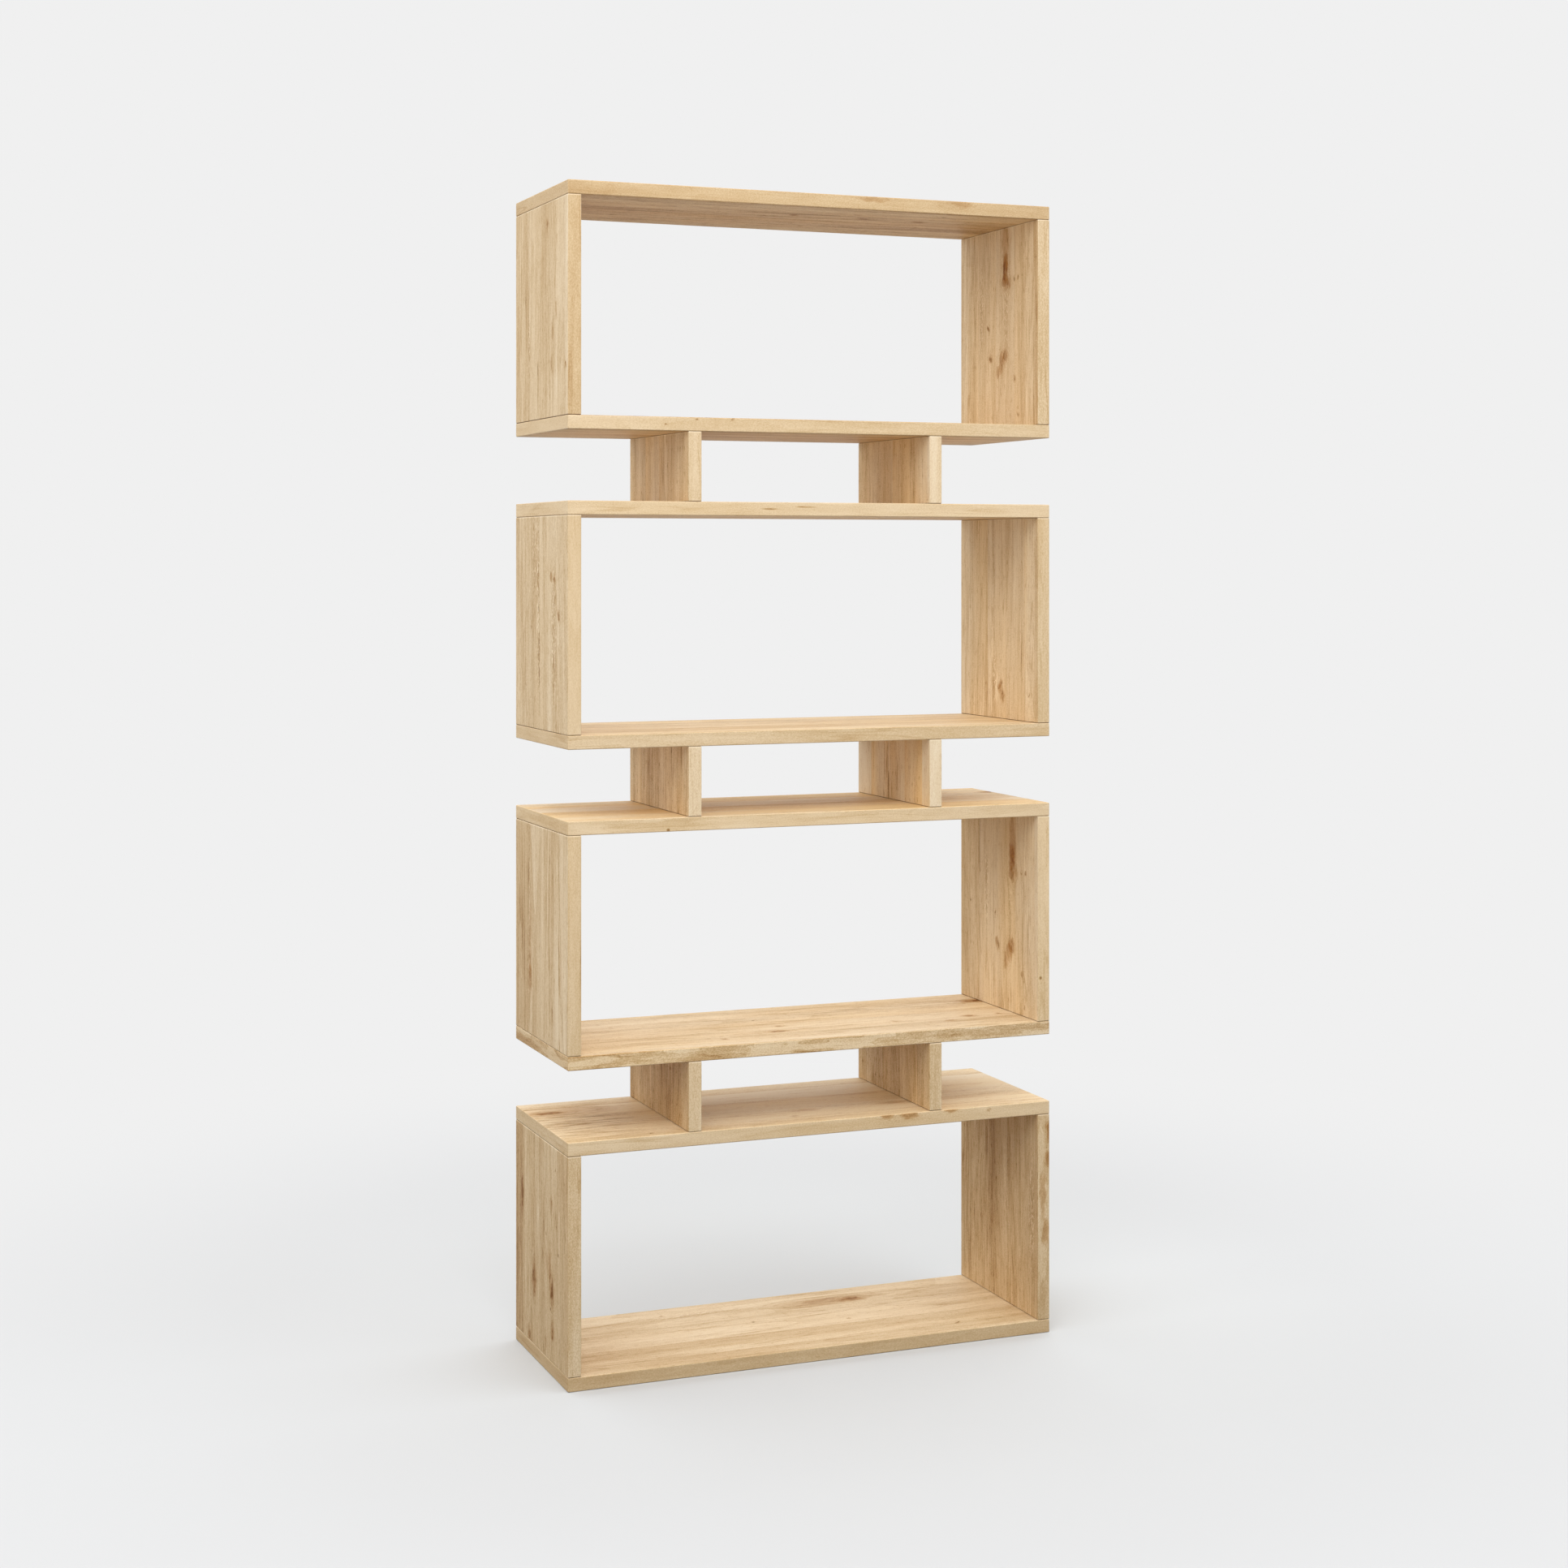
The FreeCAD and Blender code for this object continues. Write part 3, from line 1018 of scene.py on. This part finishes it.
# Marks that stand out are placed one by one on each board, and the layers of noise give the rest
FIGURES: dict[str, Figure] = {
    "box1_bottom_board": Figure(
        edge_tone=0.08, end_tone=0.07,
        knots=(
            Knot(546, 220, 34, 16, 0.7, 0.4),
            Knot(515, 224, 110, 26, 0.1, 0.32),
            Knot(504, 122, 6, 5, 0.8, 0.3),
            Knot(231, 243, 6, 5, 0.7, 0.3),
            Knot(657, 38, 6, 5, 0.8, 0.3),
            Knot(661, 8, 6, 5, 0.8, 0.3),
        ),
        streaks=(
            Streak(500, 224, 150, 30, 0.10),
            Streak(640, 228, 240, 44, 0.10),
            Streak(265, 228, 260, 26, 0.08, 0.25),
            Streak(411, 75, 50, 26, 0.14),
            Streak(150, 45, 270, 20, 0.10),
        ),
    ),
    "box1_top_board": Figure(
        tone=-0.21, contrast=1.1, warmth_and_bounce=0.6, edge_warmth_and_bounce=0.25, edge_tone=0.19, end_tone=0.08,
        knots=(
            Knot(30, 205, 44, 14, 0.7, 0.4),
            Knot(60, 208, 130, 44, 0.05, 0.35),
            Knot(135, 17, 6, 5, 0.8, 0.3),
            Knot(415, 80, 34, 14, 0.1, 0.3),
            Knot(560, 80, 34, 14, 0.1, 0.25),
            Knot(380, 45, 12, 9, 0.2, 0.3),
            Knot(515, 20, 22, 8, 0.3, 0.6, Side.EDGE),
            Knot(555, 17, 26, 8, 0.3, 0.6, Side.EDGE),
            Knot(625, 19, 18, 6, 0.4, 0.6, Side.EDGE),
            Knot(692, 14, 5, 4, 0.8, 0.3, Side.EDGE),
        ),
        streaks=(
            Streak(400, 165, 1600, 14, 0.12),
            Streak(400, 205, 1600, 14, 0.10),
            Streak(60, 130, 260, 320, 0.24),
        ),
    ),
    # Box 1's sides have a darker tone, which is partly painted shade low down near the floor
    "box1_left_side": Figure(
        tone=0.13, warmth_and_bounce=0.1, edge_tone=-0.23, edge_contrast=1.0,
        knots=(
            Knot(220, 243, 50, 12, 0.8, 0.5),
            Knot(105, 178, 44, 16, 0.7, 0.6),
            Knot(10, 203, 20, 12, 0.7, 0.5),
            Knot(105, 82, 36, 16, 1.0, 0.6),
            Knot(140, 92, 50, 8, 0.2, 0.5),
            Knot(47, 80, 20, 12, 1.0, 0.5),
            Knot(145, 108, 20, 10, 0.1, 0.3),
            Knot(235, 85, 20, 10, 0.1, 0.3),
            Knot(20, 115, 18, 10, 0.1, 0.3),
            Knot(188, 113, 5, 4, 0.7, 0.2),
            Knot(292, 63, 5, 4, 0.7, 0.2),
        ),
        streaks=(
            Streak(165, 150, 700, 8, -0.10),
            Streak(165, 40, 700, 12, -0.06),
            Streak(165, 255, 700, 30, 0.05),
        ),
    ),
    # Its darker tone is partly painted shade low down near the floor
    "box1_right_side": Figure(
        tone=0.19, contrast=1.1, edge_tone=-0.03, edge_flame=0.28, edge_contrast=0.8,
        knots=(
            Knot(300, 19, 26, 8, 0.3, 0.7, Side.EDGE),
            Knot(255, 18, 20, 7, 0.3, 0.6, Side.EDGE),
            Knot(198, 10, 60, 7, 0.1, 0.4, Side.EDGE),
            Knot(138, 14, 30, 8, 0.1, 0.5, Side.EDGE),
        ),
        streaks=(
            Streak(180, 172, 420, 90, 0.10),
            Streak(165, 55, 700, 150, -0.06),
            Streak(170, 18, 240, 24, 0.0, 0.45),
            Streak(190, 110, 200, 30, 0.0, 0.2),
            Streak(195, 58, 150, 5, 0.2),
            Streak(165, 98, 700, 46, -0.06),
            Streak(165, 245, 900, 110, 0.09),
        ),
    ),
    "box2_bottom_board": Figure(
        tone=-0.06, contrast=1.2, warmth_and_bounce=0.5,
        edge_warmth_and_bounce=0.4, edge_tone=0.22, edge_flame=0.48, edge_contrast=1.0, end_tone=0.09,
        knots=(
            Knot(264, 48, 12, 9, 0.6, 0.5),
            Knot(366, 77, 26, 12, 0.7, 0.6),
            Knot(701, 90, 20, 12, 0.7, 0.6),
            Knot(758, 92, 12, 9, 0.6, 0.5),
            Knot(771, 212, 40, 22, 0.9, 0.7),
            Knot(571, 90, 14, 10, 0.2, 0.4),
            Knot(656, 62, 14, 10, 0.2, 0.4),
            Knot(383, 118, 12, 9, 0.3, 0.4),
        ),
    ),
    "box2_top_board": Figure(
        tone=-0.15, warmth_and_bounce=1.3, edge_warmth_and_bounce=0.3, edge_tone=0.07, edge_flame=0.15,
        knots=(Knot(790, 205, 30, 18, 0.7, 0.6),),
    ),
    "box2_left_side": Figure(
        tone=0.05, contrast=0.9, warmth_and_bounce=0.1, flame=0.06, edge_warmth_and_bounce=0.4, edge_tone=0.02,
        knots=(Knot(88, 200, 34, 15, 0.15, 0.45), Knot(150, 199, 90, 10, 0.0, 0.4)),
        streaks=(
            Streak(165, 230, 700, 5, 0.14),
            Streak(48, 80, 60, 14, 0.18),
            Streak(165, 42, 700, 10, 0.18),
            Streak(165, 52, 700, 4, -0.14),
            Streak(230, 70, 500, 10, 0.12),
            Streak(200, 19, 460, 5, 0.3, 0.0, Side.EDGE),
            Streak(280, 92, 24, 14, 0.14),
            Streak(165, 95, 700, 14, 0.12),
            Streak(165, 205, 420, 16, 0.08, 0.3),
            Streak(165, 250, 700, 50, 0.05),
        ),
    ),
    "box2_right_side": Figure(
        tone=-0.03, warmth_and_bounce=0.65, edge_warmth_and_bounce=0.5, edge_tone=0.03,
        knots=shifted(RIGHT_FIGURE_KNOTS, -10, -25),
        streaks=shifted(RIGHT_FIGURE_STREAKS, -10, -25) + (
            Streak(260, 30, 500, 90, -0.10),
            Streak(165, 250, 900, 90, 0.07),
            Streak(10, 105, 100, 70, 0.12),
        ),
    ),
    "box3_bottom_board": Figure(
        tone=-0.04, contrast=1.1, warmth_and_bounce=0.5,
        edge_warmth_and_bounce=0.1, edge_tone=0.03, edge_contrast=0.6, end_tone=0.11,
    ),
    "box3_top_board": Figure(
        tone=-0.03, edge_warmth_and_bounce=0.3, edge_tone=0.05, end_tone=-0.02,
        streaks=(
            Streak(320, 10, 34, 4, 0.25, 0.0, Side.EDGE),
            Streak(380, 14, 44, 4, 0.25, 0.0, Side.EDGE),
        ),
    ),
    "box3_left_side": Figure(
        tone=-0.02, warmth_and_bounce=0.1, edge_warmth_and_bounce=0.1, edge_tone=-0.02, edge_contrast=0.45,
        knots=(
            Knot(177, 48, 11, 9, 0.7, 0.5),
            Knot(233, 70, 10, 8, 0.4, 0.6),
            Knot(235, 88, 10, 8, 0.4, 0.6),
            Knot(152, 190, 6, 5, 0.6, 0.3),
        ),
        streaks=(
            Streak(130, 150, 200, 10, 0.40, 0.2),
            Streak(165, 152, 420, 24, 0.08, 0.3),
            Streak(270, 165, 200, 50, 0.02, 0.45),
            Streak(165, 221, 700, 5, 0.14),
            Streak(150, 68, 280, 40, 0.08, 0.45),
        ),
    ),
    "box3_right_side": Figure(
        tone=-0.065, warmth_and_bounce=0.65, edge_warmth_and_bounce=1.0, edge_tone=0.14,
        knots=(
            Knot(37, 125, 16, 12, 0.8),
            Knot(57, 130, 13, 10, 0.7),
            Knot(50, 137, 10, 8, 0.6),
            Knot(46, 32, 6, 5, 0.7, 0.3),
        ),
        streaks=(
            Streak(165, 163, 700, 18, 0.12, 0.12),
            Streak(70, 158, 110, 14, -0.06, 0.35),
            Streak(165, 62, 700, 6, 0.16),
            Streak(165, 30, 700, 60, -0.06, 0.12),
            Streak(50, 150, 60, 20, -0.15, 0.5),
            Streak(200, 248, 60, 6, 0.2),
            Streak(60, 180, 420, 70, 0.10),
            # Lighter at the top end: painted light that thins the shade under the top board
            Streak(320, 120, 130, 600, -0.07),
        ),
    ),
    "box4_bottom_board": Figure(
        tone=0.03, contrast=1.3, warmth_and_bounce=0.6, edge_warmth_and_bounce=0.1, edge_contrast=0.5, end_tone=-0.07,
        knots=(
            Knot(151, 9, 4, 3, 0.8, 0.3, Side.EDGE),
            Knot(205, 19, 4, 3, 0.7, 0.3, Side.EDGE),
            Knot(260, 19, 4, 3, 0.7, 0.3, Side.EDGE),
            Knot(420, 200, 20, 12, 0.1, 0.4),
            Knot(510, 225, 20, 12, 0.1, 0.4),
        ),
    ),
    "box4_top_board": Figure(
        tone=0.10, contrast=1.6, warmth_and_bounce=0.5, edge_tone=0.13, edge_contrast=0.5, end_tone=-0.23,
        knots=(
            Knot(401, 98, 18, 12, 0.5, 0.6),
            Knot(521, 100, 18, 12, 0.4, 0.6),
            Knot(619, 105, 18, 12, 0.5, 0.6),
            Knot(491, 62, 10, 8, 0.4, 0.4),
            Knot(495, 17, 34, 8, 0.05, 0.36, Side.EDGE),
            Knot(645, 17, 30, 8, 0.05, 0.36, Side.EDGE),
        ),
        streaks=(
            Streak(171, 95, 60, 16, -0.08, 0.3),
            Streak(171, 145, 50, 14, -0.08, 0.3),
            Streak(250, 170, 900, 26, -0.10),
            Streak(420, 120, 1300, 12, 0.12),
            Streak(300, 60, 900, 16, 0.12),
            Streak(520, 215, 900, 18, 0.10),
        ),
    ),
    "box4_left_side": Figure(
        tone=-0.02, contrast=0.9, warmth_and_bounce=0.1, edge_tone=0.05, edge_contrast=0.85,
        knots=(
            Knot(80, 83, 16, 8, 0.2, 0.35),
            Knot(127, 79, 22, 8, 0.2, 0.35),
            Knot(164, 62, 18, 7, 0.2, 0.3),
            Knot(292, 106, 16, 9, 0.35, 0.4),
            Knot(264, 55, 8, 6, 0.3, 0.4),
            Knot(74, 10, 8, 6, 0.9, 0.5),
        ),
        streaks=(
            Streak(110, 152, 270, 14, 0.16),
            Streak(80, 152, 50, 9, 0.22),
            Streak(165, 218, 700, 5, 0.14),
            Streak(165, 245, 700, 5, 0.12),
            Streak(297, 87, 30, 6, 0.2),
            Streak(110, 200, 110, 18, 0.1, 0.4),
            Streak(165, 65, 900, 150, -0.05),
            Streak(165, 215, 900, 140, 0.03),
        ),
    ),
    "box4_right_side": Figure(
        warmth_and_bounce=0.35, edge_tone=0.10, edge_flame=0.12, edge_contrast=0.9,
        knots=RIGHT_FIGURE_KNOTS,
        streaks=RIGHT_FIGURE_STREAKS + (
            Streak(110, 30, 600, 90, 0.09),
            # Lighter at the top end: painted light that thins the shade under the top board
            Streak(320, 190, 130, 500, -0.08),
        ),
    ),
    "spacer1_left": Figure(tone=0.21, contrast=1.5, warmth_and_bounce=0.45, edge_tone=-0.27, edge_contrast=0.6),
    "spacer1_right": Figure(tone=0.06, contrast=1.5, warmth_and_bounce=0.6, edge_tone=-0.08, edge_contrast=0.6),
    "spacer2_left": Figure(contrast=1.6, warmth_and_bounce=0.5, edge_tone=-0.12, edge_contrast=0.6),
    "spacer2_right": Figure(
        tone=-0.20, contrast=1.4, warmth_and_bounce=1.4, edge_tone=0.05, edge_contrast=0.6,
        streaks=(
            Streak(53, 160, 320, 50, 0.30, 0.1),
            Streak(53, 166, 320, 6, -0.25),
            Streak(53, 115, 320, 26, 0.20),
            Streak(53, 240, 320, 20, 0.10),
        ),
    ),
    "spacer3_left": Figure(tone=-0.05, contrast=1.3, warmth_and_bounce=0.85, edge_tone=0.04, edge_contrast=0.6),
    "spacer3_right": Figure(tone=-0.12, contrast=1.3, warmth_and_bounce=1.0, edge_contrast=0.6),
}


@dataclass(frozen=True)
class ShelfBox:
    """One open box: two flat boards, two sides and the dowels in its corners."""

    number: int
    wood: OiledBeech
    pegs: RawBeech
    boards: tuple[tuple[str, Grain], ...] = (
        ("bottom_board", Grain.LEVEL),
        ("top_board", Grain.LEVEL),
        ("left_side", Grain.UPRIGHT),
        ("right_side", Grain.UPRIGHT),
    )
    box_seed: float = 31.0
    board_seed: float = 5.3

    def dress(self) -> None:
        """Gives the box's boards and dowels their finishes."""
        for place, (board, grain) in enumerate(self.boards):
            node = f"box{self.number}_{board}"
            seed = self.box_seed * self.number + self.board_seed * place
            self.wood.dress(node, grain, FIGURES[node], seed)
        self.pegs.dress(f"box{self.number}_corner_dowels")


@dataclass(frozen=True)
class SpacerPair:
    """The two uprights in one gap, with the dowels, bolts and inserts that hold them."""

    number: int
    wood: OiledBeech
    pegs: RawBeech
    bolts: PlatedMetal
    inserts: PlatedMetal
    first_seed: float = 211.0
    pair_seed: float = 17.0
    hand_seed: float = 7.9

    def dress(self) -> None:
        """Gives the pair's uprights and hardware their finishes."""
        for place, hand in enumerate(("left", "right")):
            node = f"spacer{self.number}_{hand}"
            seed = self.first_seed + self.pair_seed * self.number + self.hand_seed * place
            self.wood.dress(node, Grain.UPRIGHT, FIGURES[node], seed)
        self.pegs.dress(f"spacer{self.number}_upper_dowels")
        self.pegs.dress(f"spacer{self.number}_locating_dowels")
        self.bolts.dress(f"spacer{self.number}_bolts")
        self.inserts.dress(f"spacer{self.number}_threaded_inserts")


@dataclass(frozen=True)
class SoftLamp:
    """One large soft lamp that points at a place."""

    name: str
    place: Point
    aim: Point
    width: float
    height: float
    power: float

    def build(self) -> None:
        """Makes the lamp."""
        data = bpy.data.lights.new(self.name, "AREA")
        data.shape = "RECTANGLE"
        data.size, data.size_y = self.width, self.height
        data.energy = self.power
        lamp = bpy.data.objects.new(self.name, data)
        lamp.location = self.place
        way = Vector(self.aim) - Vector(self.place)
        lamp.rotation_euler = way.to_track_quat("-Z", "Y").to_euler()
        bpy.context.scene.collection.objects.link(lamp)
        LOG.info("lamp %s", self.name)


@dataclass(frozen=True)
class Studio:
    """A pale floor that fades into a pale surround, and soft light all round.

    The paper is palest on an ellipse, in mm, and greyer round it, where the grey is a painted broad soft
    shadow; all of it is a little cool, which offsets the warm light that the wood bounces onto it. The
    fade to the surround and the floor's own glow begin and end so many metres from the middle. The dome's
    belt goes by height, from 0 at the horizon to 1 straight up.
    """

    surround: Colour = paint(240, 240, 240)
    white: Colour = paint(255, 255, 255)
    paper: Colour = paint(213, 215, 216)
    paper_in_painted_shadow: Colour = paint(205, 206, 207)
    pale_spot: tuple[float, float, float, float] = (120.0, 170.0, 500.0, 620.0)
    painted_shadow_step: Pair = (1.0, 4.0)
    paper_roughness: float = 0.9
    fibre_roughness: float = 0.1
    fibre_detail: float = 2.0
    floor_half: float = 14.0
    floor_rows: int = 29
    fade_step: Pair = (0.8, 2.2)
    floor_glow: float = 0.62
    glow_step: Pair = (1.2, 3.0)
    dome_level: float = 0.84
    dome_belt: float = 1.0
    belt_foot: Pair = (0.34, 0.50)
    belt_head: Pair = (0.90, 0.74)
    lamps: tuple[SoftLamp, ...] = (
        SoftLamp(
            "front_softbox",
            place=(-0.8, -1.9, 2.7),
            aim=(0.0, 0.0, 1.2),
            width=1.4,
            height=1.4,
            power=15.0,
        ),
    )

    def build(self) -> None:
        """Makes the floor, the world and the lamps."""
        self.build_floor()
        self.build_world()
        for lamp in self.lamps:
            lamp.build()

    def build_floor(self) -> None:
        """Makes the floor: a level square grid, z = 0, cut into equal cells."""
        steps = np.linspace(-self.floor_half, self.floor_half, self.floor_rows)
        x, y = np.meshgrid(steps, steps)
        points = np.stack([x, y, np.zeros_like(x)], -1).reshape(-1, 3)
        index = np.arange(points.shape[0]).reshape(self.floor_rows, self.floor_rows)
        corners = (index[:-1, :-1], index[:-1, 1:], index[1:, 1:], index[1:, :-1])
        mesh = bpy.data.meshes.new("studio_floor")
        mesh.from_pydata(points.tolist(), [], np.stack(corners, -1).reshape(-1, 4).tolist())
        floor = bpy.data.objects.new("studio_floor", mesh)
        bpy.context.scene.collection.objects.link(floor)
        mesh.materials.append(self.floor_finish())
        LOG.info("floor %s", floor.name)

    def floor_finish(self) -> bpy.types.Material:
        """Pale paper that takes the shadow and is greyer round the object in a painted broad shadow; to
        the light it carries it is dark near the object, as painted shade, and glows further out as a wide
        soft floor would.

        Returns:
            The floor's material.
        """
        material = bpy.data.materials.new("studio_floor_paper")
        sheet = NodeSheet(material)
        place = sheet.object_place()[0]
        away = sheet.length(place)
        fibre = sheet.noise(place, self.fibre_detail)
        from_spot = sheet.length(sheet.ellipse(place, *self.pale_spot))
        # Greyer paper round the pale spot is a painted broad soft shadow
        paper = sheet.node(
            "ShaderNodeBsdfPrincipled",
            sockets={
                "Base Color": sheet.blend(from_spot.ease(*self.painted_shadow_step), self.paper, self.paper_in_painted_shadow),
                "Roughness": self.paper_roughness + self.fibre_roughness * fibre,
                "Specular IOR Level": 0.0,
            },
        )
        plain = self.shine(sheet, "ShaderNodeEmission", self.surround, 1.0)
        shown = self.mix(sheet, away.ease(*self.fade_step), sheet.read(paper, "BSDF"), plain)
        # To rays that only carry light, the floor is dark near the object, a painted stand-in for its
        # shade there, and glows further out
        dark = self.shine(sheet, "ShaderNodeEmission", self.white, 0.0)
        bright = self.shine(sheet, "ShaderNodeEmission", self.white, self.floor_glow)
        glow = self.mix(sheet, away.ease(*self.glow_step), dark, bright)
        sheet.finish(self.mix(sheet, self.seen(sheet), glow, shown))
        return material

    def build_world(self) -> None:
        """Makes the dome: soft light, strongest in a belt half way up, and plain where it is seen."""
        world = bpy.data.worlds.new("studio_dome")
        sheet = NodeSheet(world)
        up = sheet.split(sheet.read(sheet.node("ShaderNodeTexCoord"), "Generated"))[2]
        belt = up.ease(*self.belt_foot) * up.ease(*self.belt_head)
        soft = self.shine(sheet, "ShaderNodeBackground", self.white, self.dome_level)
        strong = self.shine(sheet, "ShaderNodeBackground", self.white, self.dome_level + self.dome_belt)
        plain = self.shine(sheet, "ShaderNodeBackground", self.surround, 1.0)
        dome = self.mix(sheet, belt, soft, strong)
        sheet.finish(self.mix(sheet, self.seen(sheet), dome, plain), "ShaderNodeOutputWorld")
        bpy.context.scene.world = world
        LOG.info("world %s", world.name)

    @staticmethod
    def shine(sheet: NodeSheet, kind: str, colour: Colour, strength: float) -> Field:
        """A shader that gives off light.

        Args:
            sheet: The nodes that it is on.
            kind: The node's type, for a surface or for the world.
            colour: The light's colour.
            strength: The light's strength.

        Returns:
            The shader.
        """
        return sheet.read(sheet.node(kind, sockets={"Color": colour, "Strength": strength}), 0)

    @staticmethod
    def seen(sheet: NodeSheet) -> Field:
        """Tells the rays that show a surface from those that only carry its light.

        Args:
            sheet: The nodes that the answer is used on.

        Returns:
            1 for a ray from the camera, a mirror or clear glass, and 0 for any other.
        """
        path = sheet.node("ShaderNodeLightPath")
        mirrored = sheet.read(path, "Is Glossy Ray").larger(sheet.read(path, "Is Transmission Ray"))
        return mirrored.larger(sheet.read(path, "Is Camera Ray"))

    @staticmethod
    def mix(sheet: NodeSheet, share: Field, first: Field, second: Field) -> Field:
        """Mixes two shaders.

        Args:
            sheet: The nodes that they are on.
            share: How much of the second there is.
            first: The first shader.
            second: The second shader.

        Returns:
            The mixed shader.
        """
        node = sheet.node("ShaderNodeMixShader", sockets={0: share, 1: first, 2: second})
        return sheet.read(node, "Shader")


@dataclass(frozen=True)
class PhotoCamera:
    """The camera of the photograph: level, left of the middle, and shifted down.

    Place is in metres, turn in degrees from straight ahead, lens and sensor in mm.
    """

    place: Point = (-1.50464, -3.75806, 1.23167)
    turn: float = -21.8216
    lens: float = 58.568
    sensor: float = 36.0
    horizon_row: float = 689.3

    def build(self) -> None:
        """Makes the camera and gives it to the scene."""
        data = bpy.data.cameras.new("photo_camera")
        data.sensor_fit = "HORIZONTAL"
        data.sensor_width = self.sensor
        data.lens = self.lens
        data.shift_y = (self.horizon_row - IMAGE_SIDE / 2) / IMAGE_SIDE
        camera = bpy.data.objects.new("photo_camera", data)
        camera.location = self.place
        camera.rotation_euler = (math.radians(90.0), 0.0, math.radians(self.turn))
        bpy.context.scene.collection.objects.link(camera)
        bpy.context.scene.camera = camera
        LOG.info("camera %s", camera.name)


def main() -> None:
    """Builds the camera and the studio, then dresses the boxes and spacers from the floor up."""
    logging.basicConfig(level=logging.INFO, format="%(message)s")
    bpy.context.scene.view_settings.view_transform = "Standard"
    PhotoCamera().build()
    Studio().build()
    wood, pegs = OiledBeech(), RawBeech()
    for number in range(1, BOX_COUNT + 1):
        ShelfBox(number, wood, pegs).dress()
    for number in range(1, BOX_COUNT):
        SpacerPair(number, wood, pegs, ZINC, BRASS).dress()


if __name__ == "__main__":
    main()
